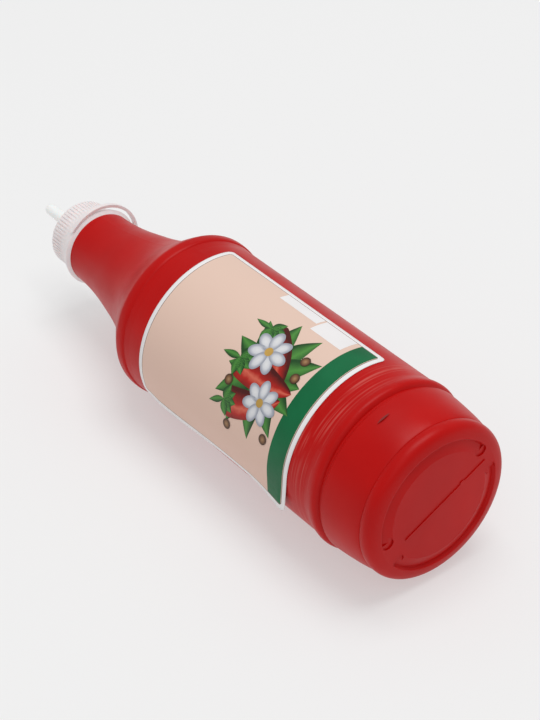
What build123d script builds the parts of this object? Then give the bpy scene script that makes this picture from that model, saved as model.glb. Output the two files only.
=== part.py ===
"""A one litre squeeze bottle of ketchup, lying on its side: bottle, front label, tamper collar,
ribbed cap with its nozzle, and the loosened tear ring.

Millimetres, +Z up. The bottle's axis runs along X, base towards +X and nozzle towards -X. It rests on
Z = 0 on two small flats. Heights along the bottle are measured from its base, towards the nozzle, and
angles round the axis are measured from +Z towards -Y, the side that carries the label.
"""

from build123d import *
import os
from math import cos, radians, sin

# Bottle, radii and heights from the base
BASE_RADIUS = 31.5
HEEL_RADIUS = 37.4
HEEL_HEIGHT = 7.0
CREASE_DEPTH = 0.5
LOWER_TOP_RADIUS = 39.8
LOWER_HEIGHT = 28.0
STEP_DEPTH = 1.0
STEP_WIDTH = 2.2
RING_RADIUS = 41.0
RIDGE_HEIGHT = 33.0
RIDGE_FADE = 6.0
PANEL_RADIUS = 40.0
BEAD_HEIGHT = 174.0
BEAD_RISE = 4.0
BEAD_FALL = 3.0
SHOULDER_LENGTH = 71.3
NECK_RADIUS = 18.4

# Small flats on which the ridge and the bead rest
FLAT_DEPTH = 0.35

# Base relief
GROOVE_INNER = 25.2
GROOVE_OUTER = 31.0
GROOVE_DEPTH = 1.3
GROOVE_WALL = 0.9
GROOVE_END_DEPTH = 0.6
SEAM_ANGLE = -63.0
SEAM_GAP = 14.0
SEAM_SHORT_END = 20.0
SEAM_LONG_END = 27.0
SEAM_WIDTH = 0.7
SEAM_PROUD = 0.4
SEAM_BLOB = 1.3

# Label
LABEL_GLUE = 0.1
LABEL_GAUGE = 0.2
LABEL_BOTTOM = 51.0
LABEL_TOP = 157.0
LABEL_START_ANGLE = -20.0
LABEL_LIFT_ANGLE = 92.0
LABEL_FLAP = 15.6

# Tamper collar, cap and nozzle
COLLAR_RADIUS = 20.0
COLLAR_LIP = 1.5
COLLAR_HEIGHT = 5.5
COLLAR_TAPER = 1.3
CAP_FOOT_RADIUS = 18.1
CAP_RADIUS = 16.7
CAP_HEIGHT = 14.7
CAP_FLARE = 5.0
CAP_ROUND = 1.6
RIB_COUNT = 60
RIB_PROUD = 0.35
RIB_WIDTH = 0.9
RIB_TOP_GAP = 1.6
NOZZLE_LENGTH = 29.0
NOZZLE_FOOT_RADIUS = 3.6
NOZZLE_RADIUS = 2.8

# Tear ring, pulled off the collar to the far side
TEAR_RADIUS = 21.1
TEAR_GAUGE = 1.5
TEAR_WIDTH = 2.2
TEAR_STAND_OFF = 1.93
TEAR_STAND_OFF_ANGLE = -47.7
TEAR_HALF_SPAN = 100.0
TEAR_RISE = 1.3

# Heights and places that follow
shoulder_height = BEAD_HEIGHT + BEAD_FALL
neck_height = shoulder_height + SHOULDER_LENGTH
cap_foot = neck_height + COLLAR_HEIGHT
cap_top = cap_foot + CAP_HEIGHT
overall_length = cap_top + NOZZLE_LENGTH + SEAM_PROUD
axis_height = RING_RADIUS - FLAT_DEPTH
base_x = overall_length / 2 - SEAM_PROUD
bottle_axis = Axis((base_x, 0, axis_height), (1, 0, 0))
profile_plane = Plane(origin=(base_x, 0, axis_height), x_dir=(-1, 0, 0), z_dir=(0, 1, 0))


def cross_plane(height):
    """Plane across the bottle at a height, its Y up and its X towards the label side."""
    return Plane(origin=(base_x - height, 0, axis_height), x_dir=(0, -1, 0), z_dir=(-1, 0, 0))


def round_point(radius, angle):
    """Point in a cross plane, its angle counted from up towards the label side."""
    return (radius * sin(radians(angle)), radius * cos(radians(angle)))


def turned_profile(angle):
    """Profile plane turned round the bottle's axis, its Y pointing out at the angle."""
    out = (0, -sin(radians(angle)), cos(radians(angle)))
    return Plane(
        origin=(base_x, 0, axis_height),
        x_dir=(-1, 0, 0),
        z_dir=Vector(-1, 0, 0).cross(Vector(*out)),
    )


with BuildPart() as bottle:
    with BuildSketch(profile_plane):
        with BuildLine():
            Line((0, 0), (0, BASE_RADIUS))
            Spline(
                (0, BASE_RADIUS),
                (0.7 * HEEL_HEIGHT, HEEL_RADIUS),
                tangents=[(0.1, 1), (1, 0)],
            )
            Spline(
                (0.7 * HEEL_HEIGHT, HEEL_RADIUS),
                (HEEL_HEIGHT, HEEL_RADIUS - CREASE_DEPTH),
                tangents=[(1, 0), (1, -0.7)],
            )
            Spline(
                (HEEL_HEIGHT, HEEL_RADIUS - CREASE_DEPTH),
                (LOWER_HEIGHT, LOWER_TOP_RADIUS),
                tangents=[(0.35, 1), (1, 0.03)],
                tangent_scalars=[0.16, 1],
            )
            Polyline(
                (LOWER_HEIGHT, LOWER_TOP_RADIUS),
                (LOWER_HEIGHT + 1, LOWER_TOP_RADIUS - STEP_DEPTH),
                (LOWER_HEIGHT + STEP_WIDTH, LOWER_TOP_RADIUS - STEP_DEPTH),
            )
            Spline(
                (LOWER_HEIGHT + STEP_WIDTH, LOWER_TOP_RADIUS - STEP_DEPTH),
                (RIDGE_HEIGHT, RING_RADIUS),
                tangents=[(0.5, 1), (1, 0)],
            )
            Spline(
                (RIDGE_HEIGHT, RING_RADIUS),
                (RIDGE_HEIGHT + RIDGE_FADE, PANEL_RADIUS),
                tangents=[(1, 0), (1, 0)],
            )
            Line((RIDGE_HEIGHT + RIDGE_FADE, PANEL_RADIUS), (BEAD_HEIGHT - 2 * BEAD_RISE, PANEL_RADIUS))
            Line((BEAD_HEIGHT - 2 * BEAD_RISE, PANEL_RADIUS), (BEAD_HEIGHT - BEAD_RISE, PANEL_RADIUS + 0.2))
            Spline(
                (BEAD_HEIGHT - BEAD_RISE, PANEL_RADIUS + 0.2),
                (BEAD_HEIGHT, RING_RADIUS),
                tangents=[(0.7, 1), (1, 0)],
            )
            Spline(
                (BEAD_HEIGHT, RING_RADIUS),
                (shoulder_height, LOWER_TOP_RADIUS),
                tangents=[(1, 0), (1, -0.62)],
            )
            Spline(
                (shoulder_height, LOWER_TOP_RADIUS),
                (shoulder_height + 0.2 * SHOULDER_LENGTH, NECK_RADIUS + 12.1),
                (shoulder_height + 0.55 * SHOULDER_LENGTH, NECK_RADIUS + 4.2),
                (neck_height, NECK_RADIUS),
                tangents=[(1, -0.62), (1, -0.02)],
            )
            Line((neck_height, NECK_RADIUS), (neck_height, 0))
            Line((neck_height, 0), (0, 0))
        make_face()
    revolve(axis=bottle_axis)
    for side_angle in (SEAM_ANGLE, SEAM_ANGLE + 180):
        groove_start = side_angle + SEAM_GAP
        with BuildSketch(turned_profile(groove_start)):
            with BuildLine():
                Polyline(
                    (0, GROOVE_INNER),
                    (GROOVE_DEPTH, GROOVE_OUTER - GROOVE_WALL),
                    (0, GROOVE_OUTER),
                    close=True,
                )
            make_face()
        revolve(axis=bottle_axis, revolution_arc=180 - 2 * SEAM_GAP, mode=Mode.SUBTRACT)
        with BuildSketch(cross_plane(0)):
            for end_angle in (groove_start, side_angle + 180 - SEAM_GAP):
                with Locations(round_point((GROOVE_INNER + GROOVE_OUTER) / 2, end_angle)):
                    Circle((GROOVE_OUTER - GROOVE_INNER) / 2)
        extrude(amount=GROOVE_END_DEPTH, mode=Mode.SUBTRACT)
    with BuildSketch(cross_plane(-SEAM_PROUD)):
        with Locations(round_point((SEAM_LONG_END - SEAM_SHORT_END) / 2, SEAM_ANGLE)):
            Rectangle(SEAM_LONG_END + SEAM_SHORT_END, SEAM_WIDTH, rotation=90 - SEAM_ANGLE)
        with Locations(round_point(SEAM_LONG_END / 2, SEAM_ANGLE)):
            Circle(SEAM_BLOB)
    extrude(amount=SEAM_PROUD)
    with BuildSketch(Plane.XY):
        Rectangle(2 * overall_length, 4 * RING_RADIUS)
    extrude(amount=-RING_RADIUS, mode=Mode.SUBTRACT)

with BuildPart() as label:
    label_length = LABEL_TOP - LABEL_BOTTOM
    label_middle = ((LABEL_BOTTOM + LABEL_TOP) / 2, PANEL_RADIUS + LABEL_GLUE + LABEL_GAUGE / 2)
    with BuildSketch(turned_profile(LABEL_START_ANGLE)):
        with Locations(label_middle):
            Rectangle(label_length, LABEL_GAUGE)
    revolve(axis=bottle_axis, revolution_arc=LABEL_LIFT_ANGLE - LABEL_START_ANGLE)
    with BuildSketch(turned_profile(LABEL_LIFT_ANGLE)):
        with Locations(label_middle):
            Rectangle(label_length, LABEL_GAUGE)
    extrude(amount=-LABEL_FLAP)

with BuildPart() as tamper_collar:
    with BuildSketch(profile_plane):
        with BuildLine():
            Polyline(
                (neck_height, 0),
                (neck_height, NECK_RADIUS),
                (neck_height + COLLAR_LIP, COLLAR_RADIUS),
                (cap_foot, COLLAR_RADIUS - COLLAR_TAPER),
                (cap_foot, 0),
                close=True,
            )
        make_face()
    revolve(axis=bottle_axis)

with BuildPart() as cap:
    with BuildSketch(profile_plane):
        with BuildLine():
            Line((cap_foot, 0), (cap_foot, CAP_FOOT_RADIUS))
            Spline(
                (cap_foot, CAP_FOOT_RADIUS),
                (cap_foot + CAP_FLARE, CAP_RADIUS + 0.2),
                (cap_top - CAP_ROUND, CAP_RADIUS),
                tangents=[(1, -0.5), (1, 0)],
            )
            RadiusArc((cap_top - CAP_ROUND, CAP_RADIUS), (cap_top, CAP_RADIUS - CAP_ROUND), CAP_ROUND)
            Polyline(
                (cap_top, CAP_RADIUS - CAP_ROUND),
                (cap_top, NOZZLE_FOOT_RADIUS),
                (cap_top + NOZZLE_LENGTH - NOZZLE_RADIUS, NOZZLE_RADIUS),
            )
            RadiusArc(
                (cap_top + NOZZLE_LENGTH - NOZZLE_RADIUS, NOZZLE_RADIUS),
                (cap_top + NOZZLE_LENGTH, 0),
                NOZZLE_RADIUS,
            )
            Line((cap_top + NOZZLE_LENGTH, 0), (cap_foot, 0))
        make_face()
    revolve(axis=bottle_axis)
    with BuildSketch(cross_plane(cap_foot)):
        with PolarLocations(CAP_RADIUS, RIB_COUNT):
            Rectangle(2 * RIB_PROUD, RIB_WIDTH)
    extrude(amount=CAP_HEIGHT - RIB_TOP_GAP)

with BuildPart() as tear_ring:
    ring_centre = round_point(TEAR_STAND_OFF, TEAR_STAND_OFF_ANGLE)
    ring_axis_point = (base_x, -ring_centre[0], axis_height + ring_centre[1])
    start_plane = turned_profile(TEAR_STAND_OFF_ANGLE - TEAR_HALF_SPAN)
    start_plane.origin = ring_axis_point
    with BuildSketch(start_plane):
        with Locations((neck_height + TEAR_RISE + TEAR_WIDTH / 2, TEAR_RADIUS - TEAR_GAUGE / 2)):
            Rectangle(TEAR_WIDTH, TEAR_GAUGE)
    revolve(axis=Axis(ring_axis_point, (1, 0, 0)), revolution_arc=2 * TEAR_HALF_SPAN)
    add(tamper_collar.part, mode=Mode.SUBTRACT)

os.makedirs("parts", exist_ok=True)
pieces = {
    "bottle": bottle,
    "label": label,
    "tamper_collar": tamper_collar,
    "cap": cap,
    "tear_ring": tear_ring,
}
for name, piece in pieces.items():
    piece.part.label = name
    export_step(piece.part, f"parts/{name}.step")
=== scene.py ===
"""Looks of the ketchup squeeze bottle: materials, printed label, painted shade for the mould mark,
floor, light and camera.
"""

import math
import bpy
from mathutils import Matrix, Vector


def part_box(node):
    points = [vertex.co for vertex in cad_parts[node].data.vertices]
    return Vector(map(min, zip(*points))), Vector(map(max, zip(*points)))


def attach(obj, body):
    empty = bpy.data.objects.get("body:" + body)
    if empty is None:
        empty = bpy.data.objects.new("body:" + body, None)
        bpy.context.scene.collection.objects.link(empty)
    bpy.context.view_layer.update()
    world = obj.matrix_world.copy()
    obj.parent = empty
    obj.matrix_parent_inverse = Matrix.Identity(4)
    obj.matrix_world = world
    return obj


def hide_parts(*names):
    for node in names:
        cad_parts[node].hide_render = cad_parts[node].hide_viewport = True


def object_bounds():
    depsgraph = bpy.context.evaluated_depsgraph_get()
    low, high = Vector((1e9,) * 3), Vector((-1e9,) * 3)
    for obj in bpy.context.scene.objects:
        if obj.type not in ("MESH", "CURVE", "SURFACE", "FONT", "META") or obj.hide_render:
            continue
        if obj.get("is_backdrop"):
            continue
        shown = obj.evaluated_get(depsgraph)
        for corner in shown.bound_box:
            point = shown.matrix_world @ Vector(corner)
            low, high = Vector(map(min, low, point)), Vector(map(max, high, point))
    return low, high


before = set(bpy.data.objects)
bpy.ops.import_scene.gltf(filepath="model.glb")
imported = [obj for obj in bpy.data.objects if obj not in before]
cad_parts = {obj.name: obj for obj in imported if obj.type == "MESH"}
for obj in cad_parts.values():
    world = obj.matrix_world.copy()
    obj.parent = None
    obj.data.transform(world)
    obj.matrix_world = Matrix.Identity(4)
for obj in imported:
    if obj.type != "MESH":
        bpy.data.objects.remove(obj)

cad_low, cad_high = (list(corner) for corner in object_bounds())

# The bottle's axis and base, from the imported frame. Heights run along the axis from the base.
RING_RADIUS = 0.0410        # ridge and bead, the widest rings
SEAM_PROUD = 0.0004         # mould seam on the base, past the base itself
PANEL_RADIUS = 0.0400       # the straight panel that carries the label
bottle_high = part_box("bottle")[1]
AXIS_Z = bottle_high[2] - RING_RADIUS
BASE_X = bottle_high[0] - SEAM_PROUD
NOZZLE_REACH = 0.0285       # the part of the cap that is nozzle, from its tip
SCUFF_LOW, SCUFF_HIGH = 0.0350, 0.0500

# The mould mark on the lower body, drawn as a strip of painted shade; its angles are degrees from +Z
# towards -Y
NOTCH_RADIUS = 0.0401
NOTCH_HEIGHT = 0.0220
NOTCH_HALF_WIDTH = 0.00045
NOTCH_START, NOTCH_SPAN = 14, 10
NOTCH_STEPS = 16

# The label, in metres: its heights, and its edges as arc round the panel from +Z towards -Y
LABEL_LOWER, LABEL_UPPER = 0.0512, 0.1568
LABEL_EDGE, LABEL_FREE_EDGE = -0.0138, 0.0798
LABEL_BOW = 0.0019          # how far the print dips towards the base in its middle
LABEL_CORNER = 0.0024
LABEL_BORDER = 0.0023
LABEL_LINE = 0.00035        # width of the brown line inside the border
LINE_CORNER, GROUND_CORNER = 0.0012, 0.0010
LABEL_PAPER = 0.00018
LABEL_STAND_OFF = 0.00030
INK_STEP = 0.00002          # each layer of print lies this far above the one below

# Where the free edge leaves the panel: a line of arc, brought forward by a wave along the edge and
# more at its lower corner
LIFT_LINE = 0.0740
WAVE_LIFT, WAVE_PEAK, WAVE_LENGTH = 0.0062, 0.1400, 0.0155
WAVE_END, WAVE_FADE = 0.1590, 0.0130
CORNER_LIFT, CORNER_TOP, CORNER_REACH = 0.0075, 0.0790, 0.0280
LIFT_LIMIT = 0.0115


# ---------------------------------------------------------------- node helpers

# The colour sockets of Blender's Mix node, after its number and vector ones
COLOUR_A, COLOUR_B, COLOUR_RESULT = 6, 7, 2


def new_material(name):
    """Fresh node material and its Principled shader."""
    material = bpy.data.materials.new(name)
    material.use_nodes = True
    return material, material.node_tree, material.node_tree.nodes["Principled BSDF"]


def node(tree, kind, **inputs):
    """New node with the inputs set by name; a name with underscores stands for one with spaces."""
    made = tree.nodes.new(kind)
    for key, value in inputs.items():
        made.inputs[key.replace("_", " ")].default_value = value
    return made


def noise(tree, scale, detail=3.0, stretch=(1, 1, 1)):
    """Noise over the object's own coordinates."""
    place = tree.nodes.new("ShaderNodeTexCoord")
    mapping = node(tree, "ShaderNodeMapping", Scale=stretch)
    texture = node(tree, "ShaderNodeTexNoise", Scale=scale, Detail=detail)
    tree.links.new(place.outputs["Object"], mapping.inputs["Vector"])
    tree.links.new(mapping.outputs[0], texture.inputs["Vector"])
    return texture.outputs["Fac"]


def ramp(tree, factor, low, high, start=0.3, end=0.7):
    """Colour that runs from low to high as the factor rises."""
    made = tree.nodes.new("ShaderNodeValToRGB")
    made.color_ramp.elements[0].position, made.color_ramp.elements[1].position = start, end
    made.color_ramp.elements[0].color, made.color_ramp.elements[1].color = (*low, 1), (*high, 1)
    tree.links.new(factor, made.inputs["Fac"])
    return made.outputs["Color"]


def remap(tree, factor, low, high):
    """Number that runs from low to high over the middle of a noise."""
    made = node(tree, "ShaderNodeMapRange", From_Min=0.3, From_Max=0.7, To_Min=low, To_Max=high)
    tree.links.new(factor, made.inputs["Value"])
    return made.outputs["Result"]


def bump(tree, shader, height, strength, distance):
    """Bump on the shader from a height."""
    made = node(tree, "ShaderNodeBump", Strength=strength, Distance=distance)
    tree.links.new(height, made.inputs["Height"])
    tree.links.new(made.outputs[0], shader.inputs["Normal"])


def calculated(tree, operation, first, second):
    """Result of a calculation on a socket and either a second socket or a number."""
    made = tree.nodes.new("ShaderNodeMath")
    made.operation = operation
    tree.links.new(first, made.inputs[0])
    if isinstance(second, float):
        made.inputs[1].default_value = second
    else:
        tree.links.new(second, made.inputs[1])
    return made.outputs[0]


def between(tree, value, low, high):
    """1 while a value lies between two limits, 0 outside them."""
    above = calculated(tree, "GREATER_THAN", value, low)
    below = calculated(tree, "LESS_THAN", value, high)
    return calculated(tree, "MULTIPLY", above, below)


def mixed(tree, amount, first, second):
    """Colour part way from the first to the second; the second is a plain colour."""
    made = tree.nodes.new("ShaderNodeMix")
    made.data_type = "RGBA"
    tree.links.new(amount, made.inputs["Factor"])
    tree.links.new(first, made.inputs[COLOUR_A])
    made.inputs[COLOUR_B].default_value = (*second, 1)
    return made.outputs[COLOUR_RESULT]


def along_axis(tree):
    """The object's own x."""
    place = tree.nodes.new("ShaderNodeTexCoord")
    split = tree.nodes.new("ShaderNodeSeparateXYZ")
    tree.links.new(place.outputs["Object"], split.inputs[0])
    return split.outputs["X"]


def printed(name, colour, spread=0.06):
    """Ink on the label: a colour that varies a little, with a faint grain."""
    material, tree, shader = new_material(name)
    low = [c * (1 - spread) for c in colour]
    high = [min(1, c * (1 + spread)) for c in colour]
    tree.links.new(ramp(tree, noise(tree, 60), low, high), shader.inputs["Base Color"])
    tree.links.new(remap(tree, noise(tree, 400), 0.37, 0.47), shader.inputs["Roughness"])
    shader.inputs["Specular IOR Level"].default_value = 0.22
    return material


# ---------------------------------------------------------------- materials

def red_plastic():
    """Satin red polyethylene with fine turning scratches and pale scuffs between label and ridge."""
    material, tree, shader = new_material("red_plastic_look")
    blotches = ramp(tree, noise(tree, 35), (0.455, 0.0028, 0.0024), (0.515, 0.0042, 0.0034))
    rings = remap(tree, noise(tree, 1400, 1.0, (1.0, 0.012, 0.012)), -1.1, 0.8)
    patches = remap(tree, noise(tree, 45, 2.0), -0.6, 1.0)
    zone = between(tree, along_axis(tree), BASE_X - SCUFF_HIGH, BASE_X - SCUFF_LOW)
    scuffs = calculated(tree, "MULTIPLY", calculated(tree, "MULTIPLY", rings, patches), zone)
    tree.links.new(mixed(tree, scuffs, blotches, (0.62, 0.13, 0.11)), shader.inputs["Base Color"])
    tree.links.new(remap(tree, noise(tree, 90), 0.32, 0.41), shader.inputs["Roughness"])
    scratches = noise(tree, 900, 2.0, (1.0, 0.03, 0.03))
    bump(tree, shader, scratches, 0.06, 0.0002)
    shader.inputs["Specular IOR Level"].default_value = 0.14
    return material


def white_plastic(name, tint_low, tint_high):
    """Milky translucent polyethylene, clearer and cooler in the nozzle."""
    material, tree, shader = new_material(name)
    tint = ramp(tree, noise(tree, 120), tint_low, tint_high)
    nozzle = calculated(tree, "LESS_THAN", along_axis(tree), cad_low[0] + NOZZLE_REACH)
    tree.links.new(mixed(tree, nozzle, tint, (0.93, 0.96, 0.94)), shader.inputs["Base Color"])
    tree.links.new(remap(tree, noise(tree, 300), 0.38, 0.48), shader.inputs["Roughness"])
    shader.inputs["Subsurface Weight"].default_value = 0.35
    shader.inputs["Subsurface Radius"].default_value = (0.003, 0.0022, 0.002)
    shader.inputs["Subsurface Scale"].default_value = 1.0
    return material


RED = red_plastic()
MILKY = white_plastic("milky_plastic_look", (0.84, 0.77, 0.77), (0.90, 0.83, 0.83))
for name, look in (("bottle", RED), ("cap", MILKY), ("tamper_collar", MILKY), ("tear_ring", MILKY)):
    piece = bpy.data.objects[name]
    for index in range(len(piece.material_slots)):
        piece.material_slots[index].material = look


# ---------------------------------------------------------------- the label's surface

def flap_lift(along):
    """How much arc the label has lost from the panel at this height, beside its lifting line."""
    wave = 0.5 + 0.5 * math.cos((along - WAVE_PEAK) / WAVE_LENGTH)
    fade = min(1.0, max(0.0, (WAVE_END - along) / WAVE_FADE))
    corner = min(1.0, max(0.0, (CORNER_TOP - along) / CORNER_REACH))
    return min(LIFT_LIMIT, WAVE_LIFT * wave * fade + CORNER_LIFT * corner)


def label_point(along, around, lift):
    """Point at a height and an arc: on the panel, and off it along its tangent past the lifting line."""
    leave = LIFT_LINE - flap_lift(along)
    on_panel = min(around, leave)
    radius = PANEL_RADIUS + LABEL_STAND_OFF + lift
    angle = on_panel / PANEL_RADIUS
    past = around - on_panel
    y = -radius * math.sin(angle) - past * math.cos(angle)
    z = radius * math.cos(angle) - past * math.sin(angle)
    return Vector((BASE_X - along, y, AXIS_Z + z))


def bow(around):
    """Shift of the label's print towards the base in its middle, where the label bows."""
    middle = (LABEL_EDGE + LABEL_FREE_EDGE) / 2
    reach = (LABEL_FREE_EDGE - LABEL_EDGE) / 2
    return LABEL_BOW * ((around - middle) / reach) ** 2 - LABEL_BOW


def mesh_piece(name, vertices, faces):
    """Piece made from its vertices and faces."""
    mesh = bpy.data.meshes.new(name)
    mesh.from_pydata(vertices, [], faces)
    piece = bpy.data.objects.new(name, mesh)
    bpy.context.scene.collection.objects.link(piece)
    return piece


def printed_sheet(name, outline, material, layer, rows, columns):
    """Field of print that follows the label.

    outline(v, u) gives the height and the arc of a point of the field; v and u run from 0 to 1.
    """
    vertices, faces = [], []
    for row in range(rows + 1):
        for column in range(columns + 1):
            along, around = outline(row / rows, column / columns)
            vertices.append(label_point(along + bow(around), around, layer * INK_STEP))
    for row in range(rows):
        for column in range(columns):
            a = row * (columns + 1) + column
            faces.append((a, a + columns + 1, a + columns + 2, a + 1))
    piece = mesh_piece(name, vertices, faces)
    piece.data.materials.append(material)
    piece.data.polygons.foreach_set("use_smooth", [True] * len(faces))
    across = piece.data.uv_layers.new(name="field").data
    for loop in piece.data.loops:
        row, column = divmod(loop.vertex_index, columns + 1)
        across[loop.index].uv = (column / columns, row / rows)
    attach(piece, "root")
    return piece


def rounded_field(inset, corner):
    """Outline of the label's rounded rectangle, moved in by an inset."""
    low, high = LABEL_LOWER + inset, LABEL_UPPER + LABEL_BOW - inset
    left, right = LABEL_EDGE + inset, LABEL_FREE_EDGE - inset

    def outline(v, u):
        along = low + (high - low) * v
        nearest = min(along - low, high - along)
        cut = 0.0
        if nearest < corner:
            cut = corner - math.sqrt(max(0.0, corner ** 2 - (corner - nearest) ** 2))
        return along, left + cut + (right - left - 2 * cut) * u
    return outline


def disc(centre_along, centre_around, radius, squash=1.0, turn=0.0):
    """Outline of a round field, or of an oval one when squashed."""
    def outline(v, u):
        angle = 2 * math.pi * u
        reach = radius * v
        x, y = reach * math.cos(angle), reach * squash * math.sin(angle)
        return (
            centre_along + x * math.cos(turn) - y * math.sin(turn),
            centre_around + x * math.sin(turn) + y * math.cos(turn),
        )
    return outline


def leaf(root_along, root_around, length, width, turn):
    """Outline of a pointed leaf."""
    def outline(v, u):
        x = length * v
        half = width / 2 * math.sin(math.pi * v ** 0.8)
        y = half * (2 * u - 1)
        return (
            root_along + x * math.cos(turn) - y * math.sin(turn),
            root_around + x * math.sin(turn) + y * math.cos(turn),
        )
    return outline


WHITE = printed("label_white", (0.86, 0.84, 0.84), 0.02)
LINE_BROWN = printed("line_brown", (0.26, 0.17, 0.14))
GREEN = printed("band_green", (0.0022, 0.132, 0.044), 0.12)


def cream_print_painted_light():
    """Cream ground with painted light: paler on top of the bottle, where the light falls, and painted
    shade down its side.
    """
    material, tree, shader = new_material("label_cream_painted_light")
    place = tree.nodes.new("ShaderNodeTexCoord")
    split = tree.nodes.new("ShaderNodeSeparateXYZ")
    tree.links.new(place.outputs["Object"], split.inputs[0])
    # Painted light: the cream grows paler with height above the floor, and is darker down the bottle's
    # side as painted shade
    painted_light_by_height = node(tree, "ShaderNodeMapRange", From_Min=0.040, From_Max=0.078, To_Min=0.0, To_Max=1.0)
    tree.links.new(split.outputs["Z"], painted_light_by_height.inputs["Value"])
    tree.links.new(
        ramp(tree, painted_light_by_height.outputs["Result"], (0.76, 0.53, 0.435), (0.785, 0.575, 0.475), 0.0, 1.0),
        shader.inputs["Base Color"],
    )
    tree.links.new(remap(tree, noise(tree, 300), 0.38, 0.46), shader.inputs["Roughness"])
    shader.inputs["Specular IOR Level"].default_value = 0.22
    return material


CREAM_PAINTED_LIGHT = cream_print_painted_light()
label_sheet = printed_sheet("label_sheet", rounded_field(0.0, LABEL_CORNER), WHITE, 0, 160, 120)
thickness = label_sheet.modifiers.new("thickness", "SOLIDIFY")
thickness.thickness, thickness.offset = LABEL_PAPER, -1.0
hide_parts("label")
printed_sheet("label_line", rounded_field(LABEL_BORDER, LINE_CORNER), LINE_BROWN, 1, 120, 100)
ground = rounded_field(LABEL_BORDER + LABEL_LINE, GROUND_CORNER)
printed_sheet("label_ground", ground, CREAM_PAINTED_LIGHT, 2, 120, 100)


# ---------------------------------------------------------------- mould mark, as painted shade

def notch_shade():
    """Painted shade of the mould mark: the dark red of the shade in its notch."""
    material, tree, shader = new_material("notch_shade")
    blotches = ramp(tree, noise(tree, 80), (0.22, 0.005, 0.005), (0.26, 0.006, 0.006))
    tree.links.new(blotches, shader.inputs["Base Color"])
    tree.links.new(remap(tree, noise(tree, 90), 0.5, 0.6), shader.inputs["Roughness"])
    return material


def mould_notch():
    """Short strip of painted shade for the mould mark round the lower body, a little proud of it and
    narrow at both ends.
    """
    vertices = []
    for column in range(NOTCH_STEPS + 1):
        angle = math.radians(NOTCH_START + NOTCH_SPAN * column / NOTCH_STEPS)
        half = NOTCH_HALF_WIDTH * math.sin(math.pi * (column + 0.4) / (NOTCH_STEPS + 0.8))
        for side in (-1, 1):
            vertices.append((
                BASE_X - NOTCH_HEIGHT - side * half,
                -NOTCH_RADIUS * math.sin(angle),
                AXIS_Z + NOTCH_RADIUS * math.cos(angle),
            ))
    faces = [(2 * n, 2 * n + 2, 2 * n + 3, 2 * n + 1) for n in range(NOTCH_STEPS)]
    piece = mesh_piece("mould_notch", vertices, faces)
    piece.data.materials.append(notch_shade())
    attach(piece, "root")


mould_notch()


# ---------------------------------------------------------------- plain fields of print

def strip(low, high, left, right):
    """Outline of a rectangle."""
    return lambda v, u: (low + (high - low) * v, left + (right - left) * u)


# The green band, and two white fields by the fixed edge
BAND_LOW, BAND_HIGH = LABEL_LOWER + 0.0029, LABEL_LOWER + 0.0131
PRINT_INSET = 0.0027
inner_left, inner_right = LABEL_EDGE + PRINT_INSET, LABEL_FREE_EDGE - PRINT_INSET
DATE_LOW, DATE_HIGH, DATE_RIGHT = 0.0885, 0.1140, -0.0055
LOWER_LOW, LOWER_HIGH, LOWER_RIGHT = 0.0672, 0.0873, -0.0008
printed_sheet("green_band", strip(BAND_LOW, BAND_HIGH, inner_left, inner_right), GREEN, 3, 20, 100)
printed_sheet("date_field", strip(DATE_LOW, DATE_HIGH, inner_left, DATE_RIGHT), WHITE, 3, 30, 10)
printed_sheet("lower_field", strip(LOWER_LOW, LOWER_HIGH, inner_left, LOWER_RIGHT), WHITE, 3, 20, 12)


# ---------------------------------------------------------------- generic garden print

def shaded_print(name, stops, axis="Y"):
    """Ink that runs through its colours across a field, as a printed picture does."""
    material, tree, shader = new_material(name)
    place = tree.nodes.new("ShaderNodeTexCoord")
    split = tree.nodes.new("ShaderNodeSeparateXYZ")
    tree.links.new(place.outputs["UV"], split.inputs[0])
    blur = tree.nodes.new("ShaderNodeMath")
    blur.operation = "MULTIPLY_ADD"
    blur.inputs[1].default_value = 0.25
    tree.links.new(noise(tree, 260, 2.0), blur.inputs[0])
    tree.links.new(split.outputs[axis], blur.inputs[2])
    colours = tree.nodes.new("ShaderNodeValToRGB")
    for place_on_ramp, _ in stops[2:]:
        colours.color_ramp.elements.new(place_on_ramp)
    for element, (place_on_ramp, colour) in zip(colours.color_ramp.elements, sorted(stops)):
        element.position, element.color = place_on_ramp, (*colour, 1)
    tree.links.new(blur.outputs[0], colours.inputs["Fac"])
    tree.links.new(colours.outputs["Color"], shader.inputs["Base Color"])
    tree.links.new(remap(tree, noise(tree, 300), 0.38, 0.46), shader.inputs["Roughness"])
    shader.inputs["Specular IOR Level"].default_value = 0.3
    return material


PEPPER = shaded_print("pepper_print", [
    (0.0, (0.10, 0.004, 0.003)), (0.30, (0.44, 0.014, 0.008)), (0.48, (0.66, 0.13, 0.08)),
    (0.62, (0.42, 0.012, 0.007)), (1.1, (0.07, 0.003, 0.002)),
], "X")
LEAF = shaded_print("leaf_print", [
    (0.0, (0.010, 0.070, 0.012)), (0.5, (0.075, 0.27, 0.045)), (1.1, (0.010, 0.065, 0.012)),
], "X")
PETAL = shaded_print("petal_print", [
    (0.0, (0.78, 0.78, 0.78)), (0.6, (0.66, 0.67, 0.70)), (1.1, (0.34, 0.36, 0.42)),
])
POLLEN = printed("pollen_print", (0.56, 0.34, 0.08), 0.25)
CORN = shaded_print("corn_print", [
    (0.0, (0.42, 0.26, 0.13)), (0.5, (0.26, 0.13, 0.055)), (1.1, (0.07, 0.030, 0.015)),
])
PETALS = 7


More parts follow.
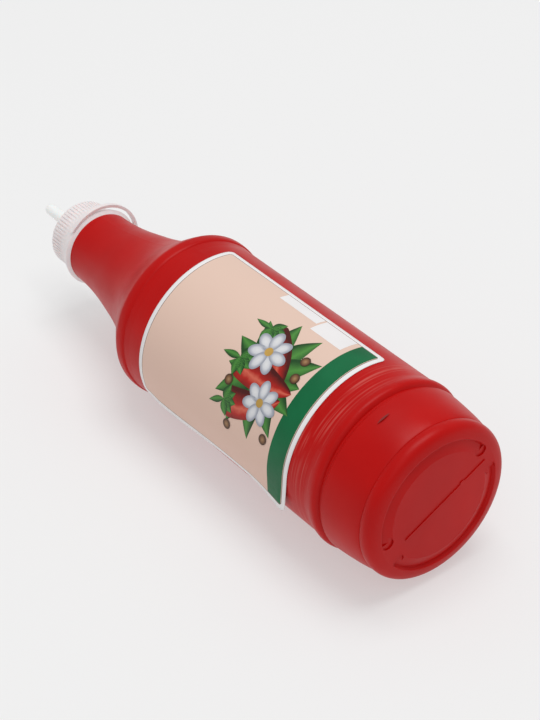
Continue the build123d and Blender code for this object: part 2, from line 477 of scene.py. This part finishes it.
def pepper(tag, along, around, length, width, turn, bend, layer):
    """Long pepper that bends along its length, with a green cap and stalk at its thick end.

    It starts at a height and an arc, and heads at a turn from the bottle's axis.
    """
    def outline(v, u):
        heading = turn + bend * v
        middle = turn + bend * v / 2
        half = width / 2 * math.sqrt(min(1.0, v / 0.10 + 0.12)) * (1 - v ** 2.4) ** 0.7
        across = half * (2 * u - 1)
        return (
            along + length * v * math.cos(middle) - across * math.sin(heading),
            around + length * v * math.sin(middle) + across * math.cos(heading),
        )
    printed_sheet(f"pepper_{tag}", outline, PEPPER, layer, 30, 12)
    stalk = leaf(along, around, 0.30 * length, 0.22 * width, turn + math.pi + 0.35)
    printed_sheet(f"pepper_stalk_{tag}", stalk, LEAF, layer + 1, 14, 4)
    for index in range(5):
        tooth = leaf(along, around, 0.55 * width, 0.34 * width, turn + (index - 2) * 0.62)
        printed_sheet(f"pepper_cap_{tag}_{index}", tooth, LEAF, layer + 2, 10, 4)


def blossom(tag, along, around, radius, layer):
    """Pale open blossom seen from the front."""
    for index in range(PETALS):
        turn = 0.4 + index * 2 * math.pi / PETALS
        middle = (along + 0.56 * radius * math.cos(turn), around + 0.56 * radius * math.sin(turn))
        petal = disc(*middle, 0.46 * radius, 0.62, turn)
        printed_sheet(f"petal_{tag}_{index}", petal, PETAL, layer + index % 2, 8, 28)
    printed_sheet(f"pollen_{tag}", disc(along, around, 0.20 * radius), POLLEN, layer + 2, 5, 24)


# Leaves behind, then the peppers, the blossoms on top and some peppercorns round them
SPRAY_ALONG, SPRAY_AROUND = 0.0850, 0.0290
SPRAY_LEAVES = 12
for index in range(SPRAY_LEAVES):
    turn = 0.2 + index * 2 * math.pi / SPRAY_LEAVES
    reach = 0.0185 + 0.0110 * abs(math.sin(turn)) + 0.0012 * (index % 3)
    spray = leaf(SPRAY_ALONG, SPRAY_AROUND, min(reach, 0.0290), 0.0105, turn)
    printed_sheet(f"spray_{index}", spray, LEAF, 3 + index % 2, 20, 6)
pepper("far", 0.0995, 0.0110, 0.0325, 0.0135, 2.80, -0.60, 5)
pepper("middle", 0.1010, 0.0290, 0.0345, 0.0150, 2.95, 0.40, 8)
pepper("near", 0.0985, 0.0480, 0.0325, 0.0140, 3.30, 0.60, 5)
blossom("far", 0.0905, 0.0200, 0.0105, 11)
blossom("near", 0.0785, 0.0395, 0.0098, 11)
PEPPERCORNS = (
    (0.0725, 0.0140), (0.0702, 0.0225), (0.1000, 0.0395), (0.0695, 0.0520), (0.0930, 0.0575),
)
for index, (along, around) in enumerate(PEPPERCORNS):
    printed_sheet(f"peppercorn_{index}", disc(along, around, 0.0024), CORN, 14, 6, 24)


# ---------------------------------------------------------------- floor, light and camera

FLOOR_REACH = 6.0
FLOOR_GLOW = 0.44           # the floor is lit from behind as well, which keeps the shadows pale
WORLD_LIGHT = 0.50
floor_corners = [
    (-FLOOR_REACH, -FLOOR_REACH, 0), (FLOOR_REACH, -FLOOR_REACH, 0),
    (FLOOR_REACH, FLOOR_REACH, 0), (-FLOOR_REACH, FLOOR_REACH, 0),
]
floor = mesh_piece("floor", floor_corners, [(0, 1, 2, 3)])
floor_look, floor_tree, floor_shader = new_material("floor_look")
floor_tree.links.new(
    ramp(floor_tree, noise(floor_tree, 1.5), (0.435, 0.435, 0.435), (0.44, 0.44, 0.44)),
    floor_shader.inputs["Base Color"],
)
floor_shader.inputs["Roughness"].default_value = 0.9
floor_shader.inputs["Emission Color"].default_value = (1, 1, 1, 1)
floor_shader.inputs["Emission Strength"].default_value = FLOOR_GLOW
floor_shader.inputs["Specular IOR Level"].default_value = 0.1
floor.data.materials.append(floor_look)
floor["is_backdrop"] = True

world = bpy.data.worlds.new("studio")
bpy.context.scene.world = world
world.use_nodes = True
world.node_tree.nodes["Background"].inputs["Color"].default_value = (1.0, 1.0, 1.0, 1)
world.node_tree.nodes["Background"].inputs["Strength"].default_value = WORLD_LIGHT


def softbox(name, place, aim, size, watts):
    """Square area lamp that points at a place; its size is in metres."""
    lamp = bpy.data.lights.new(name, "AREA")
    lamp.size, lamp.energy = size, watts
    piece = bpy.data.objects.new(name, lamp)
    piece.location = place
    piece.rotation_mode = "QUATERNION"
    piece.rotation_quaternion = (Vector(aim) - Vector(place)).to_track_quat("-Z", "Y")
    bpy.context.scene.collection.objects.link(piece)


AIM = (0, 0, 0.04)
softbox("key", (0.10, 0.30, 2.6), AIM, 1.5, 34.0)
softbox("fill", (1.6, -1.2, 2.0), AIM, 1.6, 5.0)

# The camera looks down at the label from beyond the base
VIEW_FROM_BASE = Vector((0.42883, -0.41928, 0.50046))
FORWARD = Vector((-0.64272, 0.49723, -0.58282)).normalized()
SENSOR, LENS = 36.0, 95.0   # in millimetres
camera_data = bpy.data.cameras.new("camera")
camera_data.sensor_width, camera_data.lens = SENSOR, LENS
camera = bpy.data.objects.new("camera", camera_data)
right = FORWARD.cross(Vector((0, 0, 1))).normalized()
upward = right.cross(FORWARD)
turn = Matrix((right, upward, -FORWARD)).transposed()
camera.rotation_mode = "QUATERNION"
camera.rotation_quaternion = turn.to_quaternion()
camera.location = Vector((BASE_X, 0, AXIS_Z)) + VIEW_FROM_BASE
bpy.context.scene.collection.objects.link(camera)
bpy.context.scene.camera = camera
bpy.context.scene.view_settings.view_transform = "Standard"
